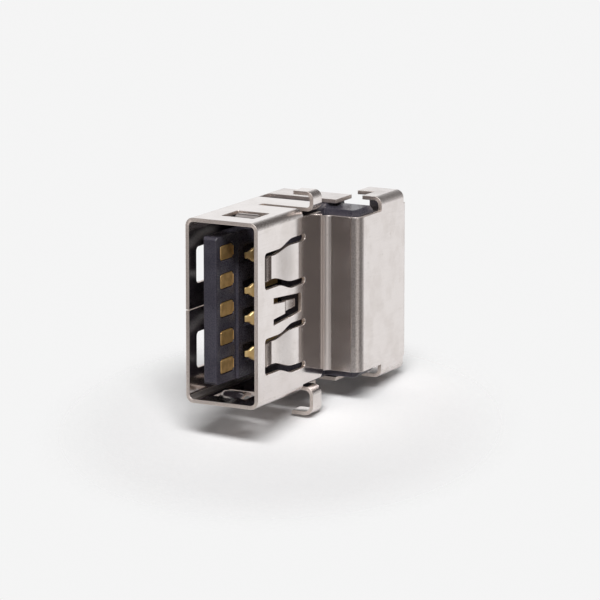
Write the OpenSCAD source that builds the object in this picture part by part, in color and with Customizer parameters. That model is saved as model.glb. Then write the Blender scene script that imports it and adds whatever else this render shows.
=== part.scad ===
// Nine-contact USB-A socket that sinks into a cut-out of its circuit board.
// It stands on one narrow side: Y runs into the mouth, Z is the long way of the mouth,
// and the board lies on the -X side. The origin is the middle of the mouth's front plane.

/* [Mouth] */
// Clear length of the mouth, the long way
mouth_l = 12.5; // [12:0.05:13]
// Clear height of the mouth, the short way
mouth_h = 5.12; // [4.9:0.02:5.4]

/* [Sheet metal] */
// Thickness of the sheet that the shell is folded from
sheet = 0.28; // [0.22:0.02:0.32]
// Inside radius of the folds
fold_r = 0.3; // [0.2:0.02:0.4]
// Gap of the butt seam on the board side
seam_gap = 0.06; // [0.03:0.01:0.12]

/* [Shell lengths] */
// Depth at which the corners of the tube end
corner_end = 6.6; // [6:0.1:7]
// Width of the relief slot across each narrow wall
relief_w = 0.6; // [0.4:0.05:0.7]
// How far the relief slot reaches past the middle, towards the board
relief_reach = 0.7; // [0.5:0.05:1.5]
// Length of each narrow wall behind the leg strip
side_land = 1.05; // [0.8:0.05:1.3]
// Gap between the narrow wall and its rear plate
side_gap = 1.45; // [1:0.05:1.8]
// Length of the rear plate of each narrow wall
side_plate = 2.4; // [1.8:0.1:2.6]
// How far the rear plate reaches beyond the tube, away from the board
side_ear = 0.26; // [0.1:0.02:0.4]

/* [Hood] */
// Depth of the shoulder's front face
shoulder_y = 10; // [9.4:0.1:10.4]
// Height of the hood above the tube
hood_rise = 2.66; // [2.2:0.02:3.2]
// Inside radius of the hood's front fold
hood_r = 0.46; // [0.3:0.02:0.6]
// How much narrower than the mouth the shoulder is, each end
shoulder_inset = 0.7; // [0.5:0.05:0.9]
// Depth of the hood's rear face
hood_end = 17.55; // [16.8:0.05:18.2]
// Length of the hood's side flanges
hood_flange_l = 3.45; // [2.6:0.05:3.5]
// Reach of the flange at its front, down from the hood
flange_front_reach = 1.55; // [1:0.05:1.8]
// Reach of the flange at its rear, down from the hood
flange_rear_reach = 2.8; // [2:0.1:3.4]
// Length of the flange's rear part
flange_rear_l = 1.6; // [1:0.1:2]
// Reach of the back cover, down from the hood
cover_reach = 3; // [2:0.1:3.4]

/* [Legs] */
// Width of a leg strip
leg_w = 1.3; // [1:0.05:1.5]
// How far a leg's fold stands beyond the tube
leg_out = 0.46; // [0.4:0.02:0.7]
// Clear gap inside the upper leg's fold
leg_gap_up = 0.85; // [0.6:0.05:0.95]
// Inside radius of the upper leg's fold
leg_r_up = 0.25; // [0.15:0.01:0.28]
// Clear gap inside the lower leg's fold
leg_gap_low = 1.5; // [1:0.05:1.6]
// Inside radius of the lower leg's fold
leg_r_low = 0.36; // [0.2:0.02:0.4]
// Length of a leg's free plate
leg_plate = 1.05; // [0.9:0.05:2]

/* [Spring fingers] */
// Distance between the two fingers of a wide wall
finger_pitch = 6; // [5.4:0.1:6.2]
// Depth of the front edge of a finger's window
finger_front = 1.05; // [0.8:0.05:1.4]
// Depth at which the slots beside a finger end
finger_end = 6.9; // [6.6:0.05:7.2]
// Width of a finger's window at its front
finger_window_front = 2.55; // [2.2:0.05:2.6]
// Width of a finger's window at its root
finger_window_root = 3.5; // [3.2:0.05:3.6]
// Width of the slots beside a finger
finger_slot = 0.45; // [0.3:0.05:0.5]
// How far a finger dips into the mouth
finger_dip = 0.42; // [0.3:0.02:0.55]
// How far the lip at a finger's tip rises again
finger_lip = 0.22; // [0.1:0.02:0.3]
// Length of the lip at a finger's tip
finger_lip_l = 0.9; // [0.85:0.05:1]
// How much shorter that lip is on the board side
board_lip_cut = 0.8; // [0.5:0.05:0.8]

/* [Centre tab] */
// Depth of the centre tab's root
tab_front = 2.3; // [2:0.05:2.6]
// Length of the centre tab's window
tab_window_l = 4.05; // [3.6:0.05:4.2]
// Width of the centre tab's window at its root
tab_window_root = 1.9; // [1.7:0.05:2]
// Width of the centre tab's window at its end
tab_window_end = 1.3; // [1.2:0.05:1.4]
// Width of the slot round the centre tab
tab_slot = 0.4; // [0.25:0.05:0.42]
// How far the centre tab steps into the mouth
tab_dip = 0.3; // [0.2:0.02:0.4]

/* [Side springs] */
// Depth of the front edge of a narrow wall's window
side_front = 1.65; // [1.4:0.05:2]
// Length of a narrow wall's window
side_window_l = 2.35; // [2:0.05:2.8]
// Width of a narrow wall's window
side_window_w = 2.56; // [2.2:0.02:2.8]
// Offset of that window: away from the board above, towards it below
side_window_x = 0.34; // [0:0.02:0.5]
// Gap round the spring in that window
side_slot = 0.4; // [0.25:0.05:0.5]
// How far the side spring dips into the mouth
side_dip = 0.26; // [0.15:0.02:0.4]
// How far the side spring's tip lies below the wall's face
side_tip = 0.04; // [0:0.02:0.1]

/* [Housing] */
// Depth of the tongue's tip
tongue_front = 0.3; // [0.2:0.05:0.8]
// Distance of the tongue's contact face from the mouth's middle, towards the board
tongue_face = 0.55; // [0.4:0.05:0.7]
// Thickness of the tongue at its tip
tongue_t = 1.12; // [1:0.02:1.3]
// Width of the tongue
tongue_w = 10.4; // [10:0.05:11]
// Chamfer round the tongue's tip
tongue_chamfer = 0.2; // [0.1:0.02:0.3]
// Depth at which the tongue thickens, behind the pads
tongue_step_y = 3.05; // [3:0.05:3.4]
// How much thicker the tongue is from there on
tongue_step = 0.18; // [0.1:0.02:0.24]
// Depth of the housing's face at the bottom of the mouth
plug_stop = 9.2; // [8.9:0.05:9.4]
// Clearance between housing and shell
shell_fit = 0.03; // [0.02:0.01:0.05]
// Gap between each end of the housing's block and the narrow wall's face
block_gap = 0.25; // [0.15:0.05:0.35]
// Length of the ledge at each end of the block, from its front face
ledge_l = 2.4; // [2:0.1:2.8]
// How far each ledge stands beyond the block behind it
ledge_h = 1.05; // [0.8:0.05:1.2]
// Chamfer along the housing's rear edges
block_chamfer = 0.3; // [0.2:0.02:0.4]
// Height of the board's top face above the mouth's middle
board_top = 1.5; // [1.2:0.05:1.7]

/* [Contacts] */
// Thickness of the contact strip
strip = 0.2; // [0.15:0.01:0.22]
// Radius of the contacts' bends, at the middle of the strip
strip_r = 0.3; // [0.2:0.02:0.35]
// Clearance round a contact in the housing
strip_fit = 0.02; // [0.01:0.01:0.03]
// Width of the tails
tail_w = 0.5; // [0.4:0.05:0.55]
// How far the tails reach past the mouth's middle, towards the board's far face
tail_reach = 0.8; // [0.5:0.1:1.2]
// Distance between neighbouring flat contacts
flat_pitch = 2; // [1.9:0.02:2.1]
// Width of a flat contact's pad
pad_w = 1; // [0.8:0.05:1.1]
// Length of a flat contact's pad
pad_l = 1.95; // [1.6:0.05:2]
// Distance of the pads from the tongue's tip
pad_back = 0.6; // [0.5:0.05:0.7]
// Radius of a pad's corners
pad_r = 0.2; // [0.1:0.05:0.3]
// How far the pads lie below the tongue's face
pad_sink = 0; // [0:0.01:0.08]
// Gap round a pad in the tongue
pad_gap = 0.06; // [0.03:0.01:0.1]
// Distance between the two inner sprung contacts
spring_inner_pitch = 2; // [1.9:0.02:2.1]
// Distance between the outer sprung contacts and their inner neighbours
spring_outer_pitch = 2.5; // [2.4:0.02:2.6]
// Width of a sprung contact
spring_w = 1; // [0.8:0.05:1.05]
// Width of a sprung contact at its tip
spring_tip_w = 0.45; // [0.4:0.05:0.7]
// Depth of the highest point of a sprung contact
spring_peak_y = 4.1; // [3.9:0.1:4.6]
// How far the sprung contacts stand above the tongue's face at its tip
spring_peak = 1; // [0.8:0.05:1.1]

/* [Tail spacer] */
// Thickness of the tail spacer
spacer_t = 0.7; // [0.5:0.05:0.9]
// Distance of the spacer's ends from the ends of the block behind its ledges
spacer_inset = 0.3; // [0.2:0.05:0.4]
// Clearance round each tail in the spacer
spacer_fit = 0.05; // [0.03:0.01:0.08]

/* [Hidden] */
$fn = 64;

metal = [0.78, 0.76, 0.74];
plastic = [0.13, 0.13, 0.15];
gold = [0.72, 0.55, 0.26];

// Faces of the tube, how far past a face a cut reaches, and how far joined sheet parts overlap
in_x = mouth_h / 2;
in_z = mouth_l / 2;
out_x = in_x + sheet;
out_z = in_z + sheet;
past = 1;
lap = 0.1;

// Shell stations along Y
leg_y = corner_end + relief_w;
side_end = leg_y + leg_w + side_land;
plate_y = side_end + side_gap;
tube_end = plate_y + side_plate;
fold_y = shoulder_y - hood_r;
cover_y = hood_end - hood_r - sheet;
flange_y = cover_y - hood_flange_l;

// Shell levels across the tube
hood_x = out_x + hood_rise;
flat_x = in_x - fold_r;
flat_z = in_z - fold_r;
shoulder_z = in_z - shoulder_inset;
trim_lead = hood_r * 2 / 3;
trim_slant = shoulder_inset / 2;
flange_slant = flange_rear_l / 3;

// Spring fingers and the window round each
finger_l = finger_end - finger_front;
finger_root = finger_end - 2 * finger_slot;
finger_tip = finger_front + finger_l / 9;
finger_low = finger_tip + finger_lip_l;
flare_start = finger_front + finger_l / 3;
flare_end = finger_root - finger_slot * 2;
curve_steps = 10;
corner_r = 0.3;

// Centre tab: it is cut free, runs flush, steps inwards and ends
tab_flush = tab_front + tab_window_l / 5;
tab_step = tab_front + tab_window_l * 2 / 5;
tab_step_l = tab_window_l / 6;
tab_end = tab_front + tab_window_l - tab_slot;

// Side springs
side_spring_w = side_window_w - 2 * side_slot;
side_spring_end = side_front + side_window_l - 1.4 * side_slot;

// Housing block behind the shoulder, and the spacer's pocket under it
spacer_back = sheet;
block_h = hood_x - sheet - shell_fit - board_top;
block_x = board_top + block_h;
block_y = shoulder_y + sheet + shell_fit;
block_end = hood_end - sheet - shell_fit;
block_z = in_z - block_gap;
rear_z = block_z - ledge_h;
spacer_y = tube_end + spacer_back;
spacer_x = board_top + spacer_t;
spacer_l = block_end - spacer_y;
plug_l = tube_end - plug_stop;

// Flat contacts: the pad, the low run in the tongue, the rise and the tail
pad_y = tongue_front + pad_back;
pad_x = -tongue_face - pad_sink - strip / 2;
pad_run_x = pad_x - 2 * strip_fit;
flat_low_x = -tongue_face - tongue_t * 2 / 3;
flat_step_y = pad_y + pad_l;
flat_step_l = 3 * strip;
flat_rise_y = plug_stop + plug_l * 3 / 5;
flat_top_x = board_top + block_h * 2 / 5;
flat_tail_y = spacer_y + spacer_l / 5;
flat_z_at = [for (i = [-2:2]) i * flat_pitch];

// Sprung contacts: the blade in its groove, the run above the flat ones, the rise and the tail
spring_peak_x = spring_peak - tongue_face - strip / 2;
spring_tip_x = spring_peak_x - spring_peak * 0.47;
spring_tip_y = spring_peak_y - spring_peak * 0.6;
spring_low_x = -tongue_face - strip * 3 / 4;
spring_root_y = plug_stop - (plug_stop - spring_peak_y) / 3;
spring_rise_y = plug_stop + plug_l * 2 / 5;
spring_neck_x = spring_low_x + spring_w;
spring_top_x = board_top + block_h * 3 / 4;
spring_tail_y = block_end - spacer_l * 2 / 5;
spring_outer = spring_inner_pitch / 2 + spring_outer_pitch;
spring_z_at = [-spring_outer, -spring_inner_pitch / 2, spring_inner_pitch / 2, spring_outer];
groove_x = -tongue_face - strip * 8 / 5;
groove_y = spring_tip_y + strip;
groove_side = strip / 2;

// Extrusions along one axis, between two stations, and pairs of like parts
module along_x(x0, x1) translate([x0, 0, 0]) rotate([90, 0, 90]) linear_extrude(x1 - x0) children();
module along_y(y0, y1) translate([0, y1, 0]) rotate([90, 0, 0]) linear_extrude(y1 - y0) children();
module along_z(z0, z1) translate([0, 0, z0]) linear_extrude(z1 - z0) children();
module both_ends() for (m = [0, 1]) mirror([0, 0, m]) children();
module both_walls() for (m = [0, 1]) mirror([m, 0, 0]) children();
module both_turns() for (a = [0, 180]) rotate([0, a, 0]) children();
module box(low, high) translate(low) cube(high - low);

// A smooth step from 0 to 1
function ease(t) = t <= 0 ? 0 : t >= 1 ? 1 : t * t * (3 - 2 * t);

// Plane shapes with true arcs
module round_rect(low, high, r) {
    translate(low + [r, 0]) square(high - low - [2 * r, 0]);
    translate(low + [0, r]) square(high - low - [0, 2 * r]);
    for (x = [low[0] + r, high[0] - r], y = [low[1] + r, high[1] - r]) translate([x, y]) circle(r);
}

// A folded strip seen end on: it starts at the origin and runs along +X, with its outer face
// on y = 0. A positive step is a straight run; a negative one folds it, towards its outer face
// (FOLD_OUT) or its inner face (FOLD_IN).
FOLD_OUT = -1;
FOLD_IN = -2;
module quarter_band(r) intersection() {
    difference() {
        circle(r + sheet);
        circle(r);
    }
    square(r + sheet);
}
module folded(steps, r, i = 0) if (i < len(steps)) {
    if (steps[i] == FOLD_OUT) {
        translate([0, -r]) quarter_band(r);
        translate([r, -r]) rotate(-90) folded(steps, r, i + 1);
    } else if (steps[i] == FOLD_IN) {
        translate([0, r + sheet]) mirror([0, 1]) quarter_band(r);
        translate([r + sheet, r + sheet]) rotate(90) folded(steps, r, i + 1);
    } else {
        square([steps[i], sheet]);
        translate([steps[i], 0]) folded(steps, r, i + 1);
    }
}

// A strip of constant thickness along a path, with mitred joints, and a path with round bends
function unit(v) = v / norm(v);
function left_of(v) = [-v[1], v[0]];
function turned(v, a) = [v[0] * cos(a) - v[1] * sin(a), v[0] * sin(a) + v[1] * cos(a)];
function mitre(a, b, c) =
    let (n = left_of(unit(b - a)), m = left_of(unit(c - b))) (n + m) / (1 + n * m);
function edge_of(p, h) = [for (i = [0:len(p) - 1]) p[i] + h * (
    i == 0 ? left_of(unit(p[1] - p[0]))
    : i == len(p) - 1 ? left_of(unit(p[i] - p[i - 1]))
    : mitre(p[i - 1], p[i], p[i + 1]))];
function reversed(p) = [for (i = [len(p) - 1:-1:0]) p[i]];
module ribbon(p, w) polygon(concat(edge_of(p, w / 2), reversed(edge_of(p, -w / 2))));
bend_steps = 5;
function bend(a, b, c, r) =
    let (d = unit(b - a), e = unit(c - b), s = sign(cross(d, e)), angle = acos(d * e),
        n = left_of(d), centre = b - d * r * tan(angle / 2) + s * r * n)
    [for (k = [0:bend_steps]) centre - s * r * turned(n, s * angle * k / bend_steps)];
function rounded(p, r) = concat([p[0]],
    [for (i = [1:len(p) - 2]) each bend(p[i - 1], p[i], p[i + 1], r)], [p[len(p) - 1]]);

// The tube's wall, seen from the mouth
module tube_wall() difference() {
    round_rect([-out_x, -out_z], [out_x, out_z], fold_r + sheet);
    round_rect([-in_x, -in_z], [in_x, in_z], fold_r);
}

// Tube with four walls at the mouth, and three walls behind the relief slots
module tube() {
    along_y(0, corner_end) tube_wall();
    difference() {
        along_y(corner_end, tube_end) tube_wall();
        box([flat_x, 0, -out_z - past], [out_x + past, tube_end + past, out_z + past]);
        both_ends() {
            box([-relief_reach, corner_end, in_z - past], [out_x, leg_y, out_z + past]);
            box([-flat_x, side_end, in_z - past], [out_x, plate_y, out_z + past]);
        }
    }
    both_ends() box([flat_x, plate_y, in_z], [out_x + side_ear, tube_end, out_z]);
}

// Outer wall past the corners, shoulder, hood and back cover, as one strip folded three times
module hood_strip() along_z(-flat_z, flat_z) translate([out_x, corner_end]) rotate(90)
    folded([fold_y - corner_end, FOLD_OUT, hood_rise - 2 * hood_r - sheet, FOLD_IN,
        cover_y - shoulder_y - hood_r - sheet, FOLD_IN, cover_reach - hood_r - sheet], hood_r);

// What is cut from the strip's edges: it is narrow at the shoulder and at the back cover
module hood_trim() both_ends() {
    along_x(flat_x, hood_x + past) polygon([
        [fold_y - trim_lead, flat_z], [fold_y - trim_lead + trim_slant, shoulder_z],
        [flange_y, shoulder_z], [flange_y, flat_z + past], [fold_y - trim_lead, flat_z + past]]);
    box([0, cover_y, shoulder_z], [hood_x + past, hood_end + past, flat_z + past]);
}

// Side flange of the hood: it is folded down flush with the narrow wall
module hood_flange() both_ends() difference() {
    along_y(flange_y, cover_y) translate([hood_x, flat_z]) rotate(90)
        folded([FOLD_IN, flange_rear_reach - fold_r - sheet], fold_r);
    along_z(in_z - past, out_z + past) polygon([
        [0, flange_y - past], [hood_x - flange_front_reach, flange_y - past],
        [hood_x - flange_front_reach, cover_y - flange_rear_l],
        [0, cover_y - flange_rear_l - flange_slant]]);
}

// Leg strip: it leaves the lower narrow wall past the corner and is folded back on itself
module leg(gap, r) along_y(leg_y, leg_y + leg_w) translate([flat_x, -out_z])
    folded([out_x + leg_out - r - sheet - flat_x, FOLD_OUT, gap - 2 * r, FOLD_OUT, leg_plate], r);

// Outline of a finger or of its window, which flare from the tip to the root
function flare(y, front, root) =
    front + (root - front) * ease((y - flare_start) / (flare_end - flare_start));
module flared(y0, y1, front, root) {
    ys = concat([y0], [for (i = [0:curve_steps])
        flare_start + (flare_end - flare_start) * i / curve_steps], [y1]);
    polygon(concat([for (y = ys) [y, flare(y, front, root) / 2]],
        reversed([for (y = ys) [y, -flare(y, front, root) / 2]])));
}
module finger_window() {
    slot_z = (finger_window_root - finger_slot) / 2;
    difference() {
        union() {
            flared(finger_front + corner_r, finger_end - finger_slot / 2,
                finger_window_front, finger_window_root);
            round_rect([finger_front, -finger_window_front / 2],
                [finger_front + 3 * corner_r, finger_window_front / 2], corner_r);
        }
        translate([finger_root, finger_slot - finger_window_root / 2])
            square([finger_end - finger_root, finger_window_root - 2 * finger_slot]);
    }
    for (z = [-slot_z, slot_z]) translate([finger_end - finger_slot / 2, z]) circle(finger_slot / 2);
}

// Finger: it dips into the mouth from its root and turns up again at its tip
function finger_drop(y) = y >= finger_low
    ? finger_dip * ease((finger_root - y) / (finger_root - finger_low))
    : finger_dip - finger_lip * (finger_low - y) / finger_lip_l;
module finger(tip) intersection() {
    ys = concat([tip], [for (i = [0:curve_steps])
        finger_low + (finger_root - finger_low) * i / curve_steps], [finger_root + lap]);
    along_z(-finger_window_root, finger_window_root) polygon(concat(
        [for (y = ys) [out_x - finger_drop(y), y]],
        reversed([for (y = ys) [in_x - finger_drop(y), y]])));
    along_x(0, out_x + past) flared(tip, finger_root + lap,
        finger_window_front - 2 * finger_slot, finger_window_root - 2 * finger_slot);
}

// Centre tab of the outer wall: a tongue of sheet, rooted towards the mouth, that steps inwards
module tab_outline(y0, y1, inset) {
    slope = (tab_window_end - tab_window_root) / 2 / tab_window_l;
    half = [for (y = [y0, y1]) tab_window_root / 2 + slope * (y - tab_front) - inset];
    polygon([[y0, half[0]], [y1, half[1]], [y1, -half[1]], [y0, -half[0]]]);
}
module tab_window() difference() {
    tab_outline(tab_front, tab_front + tab_window_l, 0);
    tab_outline(tab_front - past, tab_flush, tab_slot);
}
function tab_drop(y) = tab_dip * ease((y - tab_step) / tab_step_l);
module tab() intersection() {
    ys = concat([tab_flush - lap],
        [for (i = [0:curve_steps]) tab_step + tab_step_l * i / curve_steps], [tab_end]);
    along_z(-tab_window_root, tab_window_root) polygon(concat([for (y = ys) [out_x - tab_drop(y), y]],
        reversed([for (y = ys) [in_x - tab_drop(y), y]])));
    along_x(0, out_x + past) tab_outline(tab_flush - lap, tab_end, tab_slot);
}

// Window of the upper narrow wall, and the short spring in it, rooted at the window's front edge
module side_window() round_rect([side_window_x - side_window_w / 2, side_front],
    [side_window_x + side_window_w / 2, side_front + side_window_l], corner_r / 2);
function side_drop(y) = let (t = max(y - side_front, 0) / (side_spring_end - side_front))
    side_dip * (1 - cos(360 * t)) / 2 + side_tip * t;
module side_spring() intersection() {
    ys = concat([side_front - lap], [for (i = [0:curve_steps])
        side_front + (side_spring_end - side_front) * i / curve_steps]);
    along_x(-in_x, in_x) polygon(concat([for (y = ys) [y, out_z - side_drop(y)]],
        reversed([for (y = ys) [y, in_z - side_drop(y)]])));
    along_z(in_z - past, out_z + past) round_rect([side_window_x - side_spring_w / 2, side_front - past],
        [side_window_x + side_spring_w / 2, side_spring_end], corner_r);
}

// Butt seam down the middle of the wall on the board side, locked by a dovetail
module seam() {
    neck = 0.7;
    head = 1.1;
    tail_y = 7.2;
    tail_h = 0.9;
    along_x(-out_x - past, -in_x + past / 2) ribbon([[-past, 0], [tail_y - neck, 0], [tail_y - head, tail_h],
        [tail_y + head, tail_h], [tail_y + neck, 0], [tube_end + past, 0]], seam_gap);
}

// Shell: one sheet, folded into the tube, the hood and the legs
module shell() color(metal) {
    difference() {
        union() {
            tube();
            difference() {
                hood_strip();
                hood_trim();
            }
            hood_flange();
            leg(leg_gap_low, leg_r_low);
            mirror([0, 0, 1]) leg(leg_gap_up, leg_r_up);
        }
        both_walls() both_ends() translate([0, 0, finger_pitch / 2])
            along_x(in_x - past / 2, out_x + past / 2) finger_window();
        along_x(in_x - past / 2, out_x + past / 2) tab_window();
        both_turns() along_z(in_z - past / 2, out_z + past / 2) side_window();
        seam();
    }
    both_ends() translate([0, 0, finger_pitch / 2]) {
        finger(finger_tip);
        mirror([1, 0, 0]) finger(finger_tip + board_lip_cut);
    }
    tab();
    both_turns() side_spring();
}

// Flat contact: a pad near the tongue's tip, a low run, a rise over the board's edge and a tail
flat_path = [[pad_run_x, pad_y + pad_r], [pad_run_x, flat_step_y], [flat_low_x, flat_step_y + flat_step_l],
    [flat_low_x, flat_rise_y], [flat_top_x, flat_rise_y], [flat_top_x, flat_tail_y],
    [-tail_reach, flat_tail_y]];
module flat_contact(z, fit) {
    gap = fit > 0 ? pad_gap : 0;
    along_z(z - tail_w / 2 - fit, z + tail_w / 2 + fit) ribbon(rounded(flat_path, strip_r), strip + 2 * fit);
    along_x(pad_x - strip / 2 - fit, pad_x + strip / 2 + (fit > 0 ? past : 0)) round_rect(
        [pad_y - gap, z - pad_w / 2 - gap], [flat_step_y - strip + gap, z + pad_w / 2 + gap], pad_r + gap);
}

// Sprung contact: a bowed blade in a groove of the tongue, with a narrow nose, then a run, a rise
// and a tail
spring_blade = [[spring_tip_x, spring_tip_y], [spring_peak_x, spring_peak_y],
    [spring_low_x, spring_root_y], [spring_low_x, spring_rise_y], [spring_neck_x, spring_rise_y]];
spring_tail = [[spring_neck_x - lap, spring_rise_y], [spring_top_x, spring_rise_y],
    [spring_top_x, spring_tail_y], [-tail_reach, spring_tail_y]];
module spring_outline(fit) {
    y = [spring_tip_y - past, spring_tip_y + spring_tip_w / 2, spring_tip_y + spring_w / 2,
        spring_rise_y + past];
    tip = spring_tip_w / 2 + fit;
    full = spring_w / 2 + fit;
    polygon([[y[0], tip], [y[1], tip], [y[2], full], [y[3], full],
        [y[3], -full], [y[2], -full], [y[1], -tip], [y[0], -tip]]);
}
module spring_contact(z, fit) translate([0, 0, z]) {
    intersection() {
        along_z(-spring_w, spring_w) ribbon(rounded(spring_blade, strip_r), strip + 2 * fit);
        along_x(-in_x, in_x) spring_outline(fit);
    }
    along_z(-tail_w / 2 - fit, tail_w / 2 + fit) ribbon(rounded(spring_tail, strip_r), strip + 2 * fit);
}

// Tongue: its tip is chamfered all round, and it thickens behind the pads
module tongue() intersection() {
    c = tongue_chamfer;
    far = -tongue_face - tongue_t;
    along_z(-tongue_w / 2, tongue_w / 2) polygon([
        [far, plug_stop], [far, tongue_front + c], [far + c / 2, tongue_front],
        [-tongue_face - c / 2, tongue_front], [-tongue_face, tongue_front + c],
        [-tongue_face, tongue_step_y], [tongue_step - tongue_face, tongue_step_y],
        [tongue_step - tongue_face, plug_stop]]);
    along_x(-in_x, in_x) polygon([[tongue_front, tongue_w / 2 - c], [tongue_front + c, tongue_w / 2],
        [plug_stop, tongue_w / 2], [plug_stop, -tongue_w / 2],
        [tongue_front + c, -tongue_w / 2], [tongue_front, c - tongue_w / 2]]);
}

// Block under the hood, with its long edges chamfered to clear the folds, and a ledge at each end
module block() {
    bar(block_y, block_y + ledge_l, block_z);
    bar(block_y, block_end, rear_z);
}
module bar(y0, y1, z) intersection() {
    along_z(-z, z) polygon([[board_top, block_y], [block_x - hood_r, block_y],
        [block_x, block_y + hood_r], [block_x, block_end - hood_r], [block_x - hood_r, block_end],
        [board_top, block_end]]);
    along_y(y0, y1) polygon([[board_top, -z], [block_x - block_chamfer, -z], [block_x, block_chamfer - z],
        [block_x, z - block_chamfer], [block_x - block_chamfer, z], [board_top, z]]);
}

// Housing: tongue, the plug that closes the tube, and the block, moulded as one
module housing() color(plastic) difference() {
    union() {
        tongue();
        along_y(plug_stop, tube_end)
            round_rect([shell_fit - in_x, shell_fit - in_z], [in_x - shell_fit, in_z - shell_fit], fold_r);
        block();
    }
    box([board_top - past, spacer_y, spacer_inset - rear_z],
        [spacer_x, block_end + past, rear_z - spacer_inset]);
    for (z = flat_z_at) flat_contact(z, strip_fit);
    for (z = spring_z_at) {
        spring_contact(z, strip_fit);
        box([groove_x, groove_y, z - spring_w / 2 - groove_side],
            [in_x, plug_stop, z + spring_w / 2 + groove_side]);
    }
}

// Tail spacer: a plate that holds the tails in line above the board
module tail_spacer() color(plastic) difference() {
    box([board_top, spacer_y + spacer_fit, spacer_inset + spacer_fit - rear_z],
        [spacer_x, block_end, rear_z - spacer_inset - spacer_fit]);
    for (z = flat_z_at) tail_hole(z, flat_tail_y);
    for (z = spring_z_at) tail_hole(z, spring_tail_y);
}
module tail_hole(z, y) {
    reach = strip / 2 + spacer_fit;
    side = tail_w / 2 + spacer_fit;
    box([board_top - past, y - reach, z - side], [spacer_x + past, y + reach, z + side]);
}

shell();
housing();
tail_spacer();
for (i = [0:4]) color(gold) flat_contact(flat_z_at[i], 0);
for (i = [0:3]) color(gold) spring_contact(spring_z_at[i], 0);
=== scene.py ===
import math

import bpy
from mathutils import Matrix, Vector
from mathutils.bvhtree import BVHTree


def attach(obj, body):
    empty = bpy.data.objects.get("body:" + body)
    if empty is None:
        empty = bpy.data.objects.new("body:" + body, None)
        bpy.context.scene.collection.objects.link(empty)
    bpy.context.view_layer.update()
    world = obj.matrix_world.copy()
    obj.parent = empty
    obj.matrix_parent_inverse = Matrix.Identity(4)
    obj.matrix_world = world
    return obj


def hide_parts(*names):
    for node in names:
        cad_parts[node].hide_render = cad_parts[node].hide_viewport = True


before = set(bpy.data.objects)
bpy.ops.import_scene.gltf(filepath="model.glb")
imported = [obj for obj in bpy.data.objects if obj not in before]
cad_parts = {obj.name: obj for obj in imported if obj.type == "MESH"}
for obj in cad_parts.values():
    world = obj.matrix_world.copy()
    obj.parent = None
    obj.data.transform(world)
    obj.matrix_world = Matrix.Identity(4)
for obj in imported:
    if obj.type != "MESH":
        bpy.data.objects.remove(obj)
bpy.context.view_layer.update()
bpy.ops.object.select_all(action="DESELECT")

# Housing: the block behind the shoulder and the tongue in the mouth are one moulding.
# It is black glass-filled plastic, shot in a steel mould, so its edges are a little round
# and its faces carry the mould's fine spark-eroded grain.
MM = 0.001
HOUSING_EDGE = 0.045
PLASTIC_COLOUR = (0.052, 0.048, 0.064, 1)
PLASTIC_PALE = (0.071, 0.066, 0.085, 1)
MOULD_GRAIN = 0.07
MOULD_DEPTH = 0.0016 * MM
FLOW_SIZE = 1.3
FLOW_DEPTH = 0.004 * MM
PLASTIC_ROUGHNESS = (0.20, 0.36)
DUST_COLOUR = (0.20, 0.19, 0.19, 1)


def merged_copy(cad_node, name):
    """A copy of a solid with its loose triangles joined to flat faces, in millimetres for now."""
    piece = bpy.data.objects.new(name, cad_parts[cad_node].data.copy())
    piece.data.name = name
    piece.data.materials.clear()
    bpy.context.collection.objects.link(piece)
    piece.data.transform(Matrix.Scale(1 / MM, 4))
    bpy.ops.object.select_all(action="DESELECT")
    piece.select_set(True)
    bpy.context.view_layer.objects.active = piece
    bpy.ops.object.mode_set(mode="EDIT")
    bpy.ops.mesh.select_all(action="SELECT")
    bpy.ops.mesh.customdata_custom_splitnormals_clear()
    bpy.ops.mesh.remove_doubles(threshold=0.0005)
    bpy.ops.mesh.dissolve_limited(angle_limit=math.radians(0.4))
    bpy.ops.object.mode_set(mode="OBJECT")
    return piece


def round_edges(piece, width):
    """Rounds the sharp edges and keeps the flats flat in the shading. The piece is in metres after it."""
    bpy.context.view_layer.objects.active = piece
    edges = piece.modifiers.new("rounded_edges", "BEVEL")
    edges.limit_method = "ANGLE"
    edges.angle_limit = math.radians(38)
    edges.width = width
    edges.segments = 2
    edges.use_clamp_overlap = False
    bpy.ops.object.modifier_apply(modifier=edges.name)
    bpy.ops.object.shade_smooth()
    flats = piece.modifiers.new("flat_faces", "WEIGHTED_NORMAL")
    flats.weight = 50
    bpy.ops.object.modifier_apply(modifier=flats.name)
    piece.data.transform(Matrix.Scale(MM, 4))


def fit(piece, cad_node, material):
    """The piece takes its material and stands for its solid."""
    piece.data.materials.append(material)
    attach(piece, "root")
    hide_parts(cad_node)


def put(tree, kind, inputs=None, **settings):
    """A shader node with its settings, and each input set to a value or linked to a socket."""
    made = tree.nodes.new(kind)
    for key, value in settings.items():
        setattr(made, key, value)
    for key, value in (inputs or {}).items():
        if isinstance(value, bpy.types.NodeSocket):
            tree.links.new(value, made.inputs[key])
        else:
            made.inputs[key].default_value = value
    return made


def blend_colours(tree, factor, a, b):
    return put(tree, "ShaderNodeMix", {0: factor, 6: a, 7: b}, data_type="RGBA").outputs[2]


def ramp_between(tree, value, low, high, to_low=0.0, to_high=1.0):
    limits = {"Value": value, "From Min": low, "From Max": high, "To Min": to_low, "To Max": to_high}
    return put(tree, "ShaderNodeMapRange", limits, interpolation_type="SMOOTHSTEP").outputs[0]


def maths(tree, operation, a, b):
    return put(tree, "ShaderNodeMath", {0: a, 1: b}, operation=operation).outputs[0]


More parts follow.
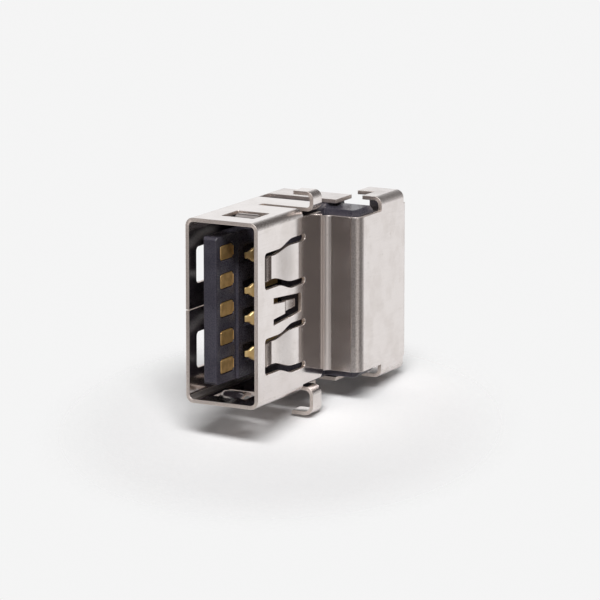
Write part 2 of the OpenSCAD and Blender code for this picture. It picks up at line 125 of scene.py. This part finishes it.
def effect(name, inputs, outputs):
    """An empty node group for an effect that several finishes share."""
    group = bpy.data.node_groups.new(name, "ShaderNodeTree")
    for socket, kind in inputs:
        group.interface.new_socket(socket, in_out="INPUT", socket_type=kind)
    for socket in outputs:
        group.interface.new_socket(socket, in_out="OUTPUT", socket_type="NodeSocketFloat")
    return group, group.nodes.new("NodeGroupInput").outputs, group.nodes.new("NodeGroupOutput").inputs


def spread(tree, position, size):
    """A position counted in steps of a size in millimetres."""
    per_size = maths(tree, "DIVIDE", 1 / MM, size)
    return put(tree, "ShaderNodeVectorMath", {0: position, "Scale": per_size}, operation="SCALE").outputs[0]


# Grain of any size in millimetres, as a height from 0 to 1
GRAIN, taken, given = effect("surface_grain", (
    ("Position", "NodeSocketVector"), ("Size", "NodeSocketFloat"),
    ("Detail", "NodeSocketFloat")), ("Height",))
GRAIN.links.new(put(GRAIN, "ShaderNodeTexNoise", {
    "Vector": spread(GRAIN, taken["Position"], taken["Size"]),
    "Scale": 1.0, "Detail": taken["Detail"], "Roughness": 0.55}).outputs[0], given["Height"])

# Small specks that sit here and there, as a mask
SPECKS, taken, given = effect("stray_specks", (
    ("Position", "NodeSocketVector"), ("Spacing", "NodeSocketFloat"),
    ("Share", "NodeSocketFloat")), ("Mask",))
cells = put(SPECKS, "ShaderNodeTexVoronoi", {
    "Vector": spread(SPECKS, taken["Position"], taken["Spacing"]), "Scale": 1.0})
chance = put(SPECKS, "ShaderNodeSeparateColor", {0: cells.outputs["Color"]}).outputs[0]
SPECKS.links.new(maths(SPECKS, "MULTIPLY", maths(SPECKS, "LESS_THAN", chance, taken["Share"]),
                       ramp_between(SPECKS, cells.outputs["Distance"], 0.22, 0.10)), given["Mask"])


def finish_nodes(name):
    """A material with its shader, and the position over the piece."""
    material = bpy.data.materials.new(name)
    material.use_nodes = True
    tree = material.node_tree
    place = tree.nodes.new("ShaderNodeTexCoord").outputs["Object"]
    return material, tree, tree.nodes["Principled BSDF"], place


def use_effect(tree, group, **inputs):
    return put(tree, "ShaderNodeGroup", inputs, node_tree=group).outputs[0]


def raise_surface(tree, height, depth, under=None):
    """A bump of that depth in metres, on top of another one where there is one."""
    inputs = {"Height": height, "Distance": depth, "Strength": 1.0}
    if under is not None:
        inputs["Normal"] = under
    return put(tree, "ShaderNodeBump", inputs).outputs[0]


plastic, tree, shader, place = finish_nodes("black_moulded_plastic")
grain = use_effect(tree, GRAIN, Position=place, Size=MOULD_GRAIN, Detail=2.0)
flow = use_effect(tree, GRAIN, Position=place, Size=FLOW_SIZE, Detail=1.0)
dust = use_effect(tree, SPECKS, Position=place, Spacing=0.33, Share=0.05)
colour = blend_colours(tree, ramp_between(tree, flow, 0.35, 0.70), PLASTIC_COLOUR, PLASTIC_PALE)
colour = blend_colours(tree, maths(tree, "MULTIPLY", dust, 0.3), colour, DUST_COLOUR)
tree.links.new(colour, shader.inputs["Base Color"])
tree.links.new(ramp_between(tree, grain, 0.25, 0.75, *PLASTIC_ROUGHNESS), shader.inputs["Roughness"])
moulded = raise_surface(tree, flow, FLOW_DEPTH)
tree.links.new(raise_surface(tree, grain, MOULD_DEPTH, moulded), shader.inputs["Normal"])

housing = merged_copy("housing", "moulded_housing")
round_edges(housing, HOUSING_EDGE)
fit(housing, "housing", plastic)

# Contacts: nine strips stamped from copper alloy and pressed into the housing from behind.
# Their working ends are plated with a thin, slightly matt layer of gold over nickel, and
# the tails that go into the board are left with plain tin.
CONTACT_EDGE = 0.07
PAD_GOLD = ((0.74, 0.48, 0.20, 1), (0.58, 0.36, 0.14, 1))
# The springs' gold is the pads' gold painted lighter, and further down it gets less metallic shine so that
# more of it shows as colour: a painted highlight for the light the springs catch.
SPRING_GOLD_PAINTED_LIT = ((1.00, 0.74, 0.36, 1), (0.95, 0.66, 0.28, 1))
TIN_COLOUR = (0.66, 0.65, 0.63, 1)
GOLD_SHINE = {"flat": 0.65, "spring": 0.40}
GOLD_ROUGHNESS = (0.30, 0.50)
TIN_BEHIND = (12.6 * MM, 13.0 * MM)
TIN_BELOW = (2.15 * MM, 1.9 * MM)
RUB_DEPTH = 0.0006 * MM

# Fine lines that run the way the metal was drawn or rubbed, as a mask
HAIRLINES, taken, given = effect("drawn_hairlines", (
    ("Position", "NodeSocketVector"), ("Spacing", "NodeSocketFloat"),
    ("Turn", "NodeSocketVector"), ("Level", "NodeSocketFloat")), ("Mask",))
turned = put(HAIRLINES, "ShaderNodeMapping",
             {"Vector": taken["Position"], "Rotation": taken["Turn"]}).outputs[0]
drawn = put(HAIRLINES, "ShaderNodeMapping", {"Vector": turned, "Scale": (1, 0.02, 1)}).outputs[0]
lines = put(HAIRLINES, "ShaderNodeTexNoise", {
    "Vector": spread(HAIRLINES, drawn, taken["Spacing"]), "Scale": 1.0, "Detail": 2.0}).outputs[0]
over = maths(HAIRLINES, "SUBTRACT", lines, taken["Level"])
HAIRLINES.links.new(ramp_between(HAIRLINES, over, 0.0, 0.06), given["Mask"])


def plating(name, light, dark, shine):
    """Gold of two close shades on the working end, and tin on the tail."""
    material, tree, shader, place = finish_nodes(name)
    patches = use_effect(tree, GRAIN, Position=place, Size=0.45, Detail=3.0)
    fine = use_effect(tree, GRAIN, Position=place, Size=0.05, Detail=2.0)
    rubbed = use_effect(tree, HAIRLINES, Position=place, Spacing=0.05, Turn=(0, 0, 0), Level=0.55)
    across = put(tree, "ShaderNodeSeparateXYZ", {0: place})
    behind = ramp_between(tree, across.outputs["Y"], *TIN_BEHIND)
    below = ramp_between(tree, across.outputs["X"], *TIN_BELOW)
    tinned = maths(tree, "MULTIPLY", behind, below)
    colour = blend_colours(tree, ramp_between(tree, patches, 0.38, 0.66), light, dark)
    tree.links.new(blend_colours(tree, tinned, colour, TIN_COLOUR), shader.inputs["Base Color"])
    worn = maths(tree, "ADD", fine, maths(tree, "MULTIPLY", rubbed, 0.3))
    tree.links.new(ramp_between(tree, worn, 0.3, 1.0, *GOLD_ROUGHNESS), shader.inputs["Roughness"])
    shader.inputs["Metallic"].default_value = shine
    tree.links.new(raise_surface(tree, maths(tree, "ADD", fine, rubbed), RUB_DEPTH), shader.inputs["Normal"])
    return material


# The spring contacts take the gold that is painted lighter, as a painted highlight.
pad_gold = plating("thin_gold_plating", *PAD_GOLD, GOLD_SHINE["flat"])
spring_gold_painted_lit = plating("gold_plating_painted_lit", *SPRING_GOLD_PAINTED_LIT, GOLD_SHINE["spring"])
for kind, count, gold in (("flat_contact", 5, pad_gold), ("spring_contact", 4, spring_gold_painted_lit)):
    for number in range(1, count + 1):
        solid = f"{kind}_{number}"
        contact = merged_copy(solid, f"plated_{solid}")
        round_edges(contact, CONTACT_EDGE)
        fit(contact, solid, gold)

# Tail spacer: a thin moulded comb that snaps under the housing and holds the nine tails
# at their places until the socket is soldered. It is the same plastic as the housing.
SPACER_EDGE = 0.03
spacer = merged_copy("tail_spacer", "moulded_tail_spacer")
round_edges(spacer, SPACER_EDGE)
fit(spacer, "tail_spacer", plastic)

# Shell: one piece of thin sheet steel, cut and folded round the housing in a press tool.
# It is nickel plated and mirrors what stands round it, bright at the tube and satin from the
# shoulder on. Its cut edges are browner, and the folds are rough where the sheet was stretched.
SHEET = 0.28
CUT_DEPTH = 1.5 * SHEET
SHELL_EDGE = 0.03
NICKEL_COLOUR = (0.745, 0.697, 0.678, 1)
NICKEL_DULL = (0.700, 0.648, 0.624, 1)
CUT_COLOUR = (0.86, 0.78, 0.73, 1)
CUT_DARK = (0.70, 0.61, 0.56, 1)
MARK_COLOUR = (0.46, 0.41, 0.37, 1)
PIT_COLOUR = (0.40, 0.36, 0.34, 1)
NICKEL_ROUGHNESS = (0.09, 0.14)
CUT_ROUGHNESS = 0.28
SCRATCH_ROUGHNESS = 0.12
FOLD_ROUGHNESS = (0.12, 0.24)
HOLLOW_ROUGHNESS = 0.30
SATIN_ROUGHNESS = 0.13
FOLD_DEPTHS = (8.5 * MM, 10.0 * MM)
SATIN_DEPTHS = (9.2 * MM, 10.0 * MM)
PEEL_BUMP = 0.0009 * MM
STRETCH_BUMP = 0.007 * MM
SHEAR_BUMP = 0.004 * MM
LINE_BUMP = 0.00025 * MM
FOLD_STEPS = (2, 30)
FOLD_STRIP = 0.15
SKIN = 0.002


def mark_faces(piece):
    """Marks the cut edges, where the metal behind a face is deeper than the sheet, and the folds."""
    mesh = piece.data
    solid = BVHTree.FromPolygons([v.co for v in mesh.vertices], [p.vertices for p in mesh.polygons])
    mesh.calc_loop_triangles()
    widest = {}
    for part in mesh.loop_triangles:
        if part.polygon_index not in widest or part.area > widest[part.polygon_index].area:
            widest[part.polygon_index] = part
    cut = mesh.attributes.new("cut_edge", "FLOAT", "FACE")
    neighbours = {}
    for face in mesh.polygons:
        depth = solid.ray_cast(widest[face.index].center - SKIN * face.normal, -face.normal)[3] or 0.0
        cut.data[face.index].value = float(depth > CUT_DEPTH)
        length = max((mesh.vertices[i].co - mesh.vertices[j].co).length for i, j in face.edge_keys)
        if depth < CUT_DEPTH and face.area < FOLD_STRIP * length:
            for edge in face.edge_keys:
                neighbours.setdefault(edge, []).append(face)
    outside = mesh.attributes.new("folded", "FLOAT", "POINT")
    inside = mesh.attributes.new("folded_in", "FLOAT", "POINT")
    for edge, faces in neighbours.items():
        if len(faces) == 2:
            if FOLD_STEPS[0] < math.degrees(faces[0].normal.angle(faces[1].normal)) < FOLD_STEPS[1]:
                side = outside if (faces[1].center - faces[0].center).dot(faces[0].normal) < 0 else inside
                for corner in edge:
                    side.data[corner].value = 1.0


nickel, tree, shader, place = finish_nodes("bright_nickel_sheet")
cut = put(tree, "ShaderNodeAttribute", attribute_name="cut_edge").outputs["Fac"]
fold = put(tree, "ShaderNodeAttribute", attribute_name="folded").outputs["Fac"]
hollow = put(tree, "ShaderNodeAttribute", attribute_name="folded_in").outputs["Fac"]
clouds = use_effect(tree, GRAIN, Position=place, Size=1.6, Detail=3.0)
rolled = use_effect(tree, HAIRLINES, Position=place, Spacing=0.045, Turn=(0, 0, 0), Level=0.56)
scratches = use_effect(tree, HAIRLINES, Position=place, Spacing=0.16, Turn=(0.5, 0.0, 0.35), Level=0.66)
peel = use_effect(tree, GRAIN, Position=place, Size=0.42, Detail=1.0)
stretched = use_effect(tree, GRAIN, Position=place, Size=0.10, Detail=2.0)
fine = use_effect(tree, GRAIN, Position=place, Size=0.035, Detail=2.0)
specks = use_effect(tree, SPECKS, Position=place, Spacing=0.5, Share=0.03)
sheared = use_effect(tree, GRAIN, Position=place, Size=0.09, Detail=3.0)

colour = blend_colours(tree, ramp_between(tree, clouds, 0.38, 0.68), NICKEL_COLOUR, NICKEL_DULL)
marks = maths(tree, "ADD", maths(tree, "MULTIPLY", rolled, 0.10), maths(tree, "MULTIPLY", specks, 0.25))
colour = blend_colours(tree, marks, colour, MARK_COLOUR)
pitted = maths(tree, "MULTIPLY", ramp_between(tree, stretched, 0.42, 0.62, 0.0, 0.45), fold)
colour = blend_colours(tree, pitted, colour, PIT_COLOUR)
edge_colour = blend_colours(tree, ramp_between(tree, sheared, 0.35, 0.7), CUT_COLOUR, CUT_DARK)
tree.links.new(blend_colours(tree, cut, colour, edge_colour), shader.inputs["Base Color"])
depth = put(tree, "ShaderNodeSeparateXYZ", {0: place}).outputs["Y"]
dull = maths(tree, "ADD", maths(tree, "MULTIPLY", cut, CUT_ROUGHNESS),
             maths(tree, "MULTIPLY", scratches, SCRATCH_ROUGHNESS))
drawn_fold = maths(tree, "MULTIPLY", fold, ramp_between(tree, depth, *FOLD_DEPTHS, *FOLD_ROUGHNESS))
dull = maths(tree, "ADD", maths(tree, "ADD", dull, drawn_fold),
             maths(tree, "MULTIPLY", hollow, HOLLOW_ROUGHNESS))
dull = maths(tree, "MAXIMUM", dull, ramp_between(tree, depth, *SATIN_DEPTHS, 0.0, SATIN_ROUGHNESS))
clouded = ramp_between(tree, clouds, 0.3, 0.75, *NICKEL_ROUGHNESS)
tree.links.new(maths(tree, "ADD", clouded, dull), shader.inputs["Roughness"])
shader.inputs["Metallic"].default_value = 1.0
wavy = raise_surface(tree, peel, PEEL_BUMP)
wavy = raise_surface(tree, maths(tree, "MULTIPLY", maths(tree, "SUBTRACT", stretched, 0.5), fold),
                     STRETCH_BUMP, wavy)
wavy = raise_surface(tree, maths(tree, "MULTIPLY", sheared, cut), SHEAR_BUMP, wavy)
lined = maths(tree, "SUBTRACT", fine, maths(tree, "ADD", maths(tree, "MULTIPLY", rolled, 0.5), scratches))
tree.links.new(raise_surface(tree, lined, LINE_BUMP, wavy), shader.inputs["Normal"])

shell = merged_copy("shell", "folded_shell")
mark_faces(shell)
round_edges(shell, SHELL_EDGE)
fit(shell, "shell", nickel)

# Floor: a sheet of matt white paper. The socket stands on the rear edge of its lower leg's
# plate, with the hood's flange just over the sheet, so the sheet slopes up under the rear
# of the socket. Its rim fades out.
LEG_REST = Vector((1.61, 8.50, -8.315))
FLOOR_SLOPE = (-0.06, 0.18)
FLOOR_RADIUS = 18.0
FLOOR_FADE = 10.5
FLOOR_FORWARD = 3.0
PAPER_COLOUR = (0.93, 0.927, 0.93, 1)
PAPER_PULP = (0.915, 0.912, 0.915, 1)
lift = Vector((-FLOOR_SLOPE[0], -FLOOR_SLOPE[1], 1)).normalized()
floor_middle = (LEG_REST - FLOOR_FORWARD * Vector((0, 1, FLOOR_SLOPE[1]))) * MM

bpy.ops.object.select_all(action="DESELECT")
bpy.ops.mesh.primitive_circle_add(vertices=96, radius=FLOOR_RADIUS * MM, fill_type="NGON",
                                  location=floor_middle, rotation=lift.to_track_quat("Z", "Y").to_euler())
floor = bpy.context.active_object
floor.name = "paper_floor"
bpy.ops.object.transform_apply(location=True, rotation=True, scale=True)
paper, tree, shader, place = finish_nodes("white_paper")
pulp = use_effect(tree, GRAIN, Position=place, Size=0.25, Detail=4.0)
tree.links.new(blend_colours(tree, ramp_between(tree, pulp, 0.3, 0.7), PAPER_COLOUR, PAPER_PULP),
               shader.inputs["Base Color"])
shader.inputs["Roughness"].default_value = 0.95
shader.inputs["Specular IOR Level"].default_value = 0.0
tree.links.new(raise_surface(tree, pulp, 0.01 * MM), shader.inputs["Normal"])
reach = put(tree, "ShaderNodeVectorMath", {0: place, 1: floor_middle}, operation="DISTANCE").outputs["Value"]
fade = ramp_between(tree, reach, FLOOR_FADE * MM, FLOOR_RADIUS * MM)
hidden = maths(tree, "MAXIMUM", fade, tree.nodes.new("ShaderNodeNewGeometry").outputs["Backfacing"])
seen = put(tree, "ShaderNodeMixShader", {0: hidden, 1: shader.outputs[0],
                                         2: tree.nodes.new("ShaderNodeBsdfTransparent").outputs[0]})
tree.links.new(seen.outputs[0], tree.nodes["Material Output"].inputs["Surface"])
floor.data.materials.append(paper)

# Room: the white sheet sweeps up behind the socket, and the room is dark on the camera's side,
# with a softbox overhead, a window on the right and a table low in front. Metal mirrors these,
# and all else gets a weak soft light from above.
ROOM_COLOUR = (0.91, 0.91, 0.91, 1)
DARK_COLOUR = (0.092, 0.082, 0.079, 1)
WINDOW_COLOUR = (0.72, 0.68, 0.65, 1)
TABLE_COLOUR = (0.86, 0.84, 0.84, 1)
WHITE = (1, 1, 1, 1)
DARK_SIDE = (0.34, -0.49, 0.80)
SWEEP_EDGE = (-0.36, 0.05)
OVERHEAD_EDGE = (0.72, 0.86)
WINDOW = (0.80, -0.54, -0.20)
WINDOW_EDGE = (0.93, 0.985)
TABLE = (-0.373, -0.694, -0.616)
TABLE_EDGE = (0.91, 0.97)
SOFT_LIGHT = 0.055
SOFT_BELOW = (0.12, 0.12, 0.12, 1)
SOFT_EDGE = (0.15, 0.60)
world = bpy.data.worlds.new("white_tent")
bpy.context.scene.world = world
world.use_nodes = True
tree = world.node_tree
tree.nodes.clear()
towards = put(tree, "ShaderNodeVectorMath", {0: tree.nodes.new("ShaderNodeTexCoord").outputs["Generated"]},
              operation="NORMALIZE").outputs[0]


def facing(direction):
    """How far a ray goes towards a direction, as the cosine between them."""
    return put(tree, "ShaderNodeVectorMath", {0: towards, 1: Vector(direction).normalized()},
               operation="DOT_PRODUCT").outputs["Value"]


paths = tree.nodes.new("ShaderNodeLightPath").outputs
ceiling = facing(DARK_SIDE)
mirrored = blend_colours(tree, ramp_between(tree, ceiling, *SWEEP_EDGE), WHITE, DARK_COLOUR)
mirrored = blend_colours(tree, ramp_between(tree, ceiling, *OVERHEAD_EDGE), mirrored, WHITE)
mirrored = blend_colours(tree, ramp_between(tree, facing(WINDOW), *WINDOW_EDGE), mirrored, WINDOW_COLOUR)
mirrored = blend_colours(tree, ramp_between(tree, facing(TABLE), *TABLE_EDGE), mirrored, TABLE_COLOUR)
backdrop = blend_colours(tree, paths["Is Camera Ray"], mirrored, ROOM_COLOUR)
shown = maths(tree, "MAXIMUM", maths(tree, "MAXIMUM", paths["Is Camera Ray"], paths["Is Glossy Ray"]),
              paths["Is Transmission Ray"])
above = blend_colours(tree, ramp_between(tree, facing(lift), *SOFT_EDGE), SOFT_BELOW, WHITE)
soft = put(tree, "ShaderNodeBackground", {"Color": above, "Strength": SOFT_LIGHT})
plain = put(tree, "ShaderNodeBackground", {"Color": backdrop, "Strength": 1.0})
both = put(tree, "ShaderNodeMixShader", {0: shown, 1: soft.outputs[0], 2: plain.outputs[0]})
tree.links.new(both.outputs[0], tree.nodes.new("ShaderNodeOutputWorld").inputs[0])

# Lamps: a long strip softbox in front, from the middle to the right, and a weak one behind
# on the left. The strip is a row of four lamps, so its shadows are soft along it only.
STRIP = ((0.10, 0.81), (0.34, 0.86), (0.58, 0.82), (0.82, 0.56))
STRIP_LEAN = -0.82
STRIP_ANGLE = 13
LAMP_AWAY = 0.3
LEFT_LAMP = ("softbox_left", Vector((-0.62, 0.25, 0.74)), 0.15, 40)
strip_lamps = [(f"softbox_front_{number}", Vector((side, STRIP_LEAN, 1)).normalized(), strength, STRIP_ANGLE)
               for number, (side, strength) in enumerate(STRIP, 1)]
for name, direction, strength, size in (*strip_lamps, LEFT_LAMP):
    bpy.ops.object.light_add(type="SUN", location=LAMP_AWAY * direction)
    lamp = bpy.context.active_object
    lamp.name = name
    lamp.rotation_euler = direction.to_track_quat("Z", "Y").to_euler()
    lamp.data.energy = strength
    lamp.data.angle = math.radians(size)

# Camera: it looks into the mouth from the right and a little from above. It stands far off
# with a long lens, so the socket's near and far ends come out at almost one scale.
VIEW_TURN = math.radians(28.25)
VIEW_RISE = math.radians(11.4)
VIEW_DISTANCE = 300.0
VIEW_RIGHT = 5.40
VIEW_UP = 0.96
VIEW_SENSOR = 36.0
VIEW_LENS = 261.5
right = Vector((math.cos(VIEW_TURN), math.sin(VIEW_TURN), 0))
back = Vector((math.sin(VIEW_TURN) * math.cos(VIEW_RISE), -math.cos(VIEW_TURN) * math.cos(VIEW_RISE),
               math.sin(VIEW_RISE)))
up = back.cross(right)
bpy.ops.object.camera_add()
camera = bpy.context.active_object
turn = Matrix((right, up, back)).transposed().to_4x4()
stand = (VIEW_DISTANCE * back + VIEW_RIGHT * right + VIEW_UP * up) * MM
camera.matrix_world = Matrix.Translation(stand) @ turn
camera.data.sensor_width = VIEW_SENSOR
camera.data.lens = VIEW_LENS
bpy.context.scene.camera = camera
bpy.context.scene.view_settings.view_transform = "Standard"
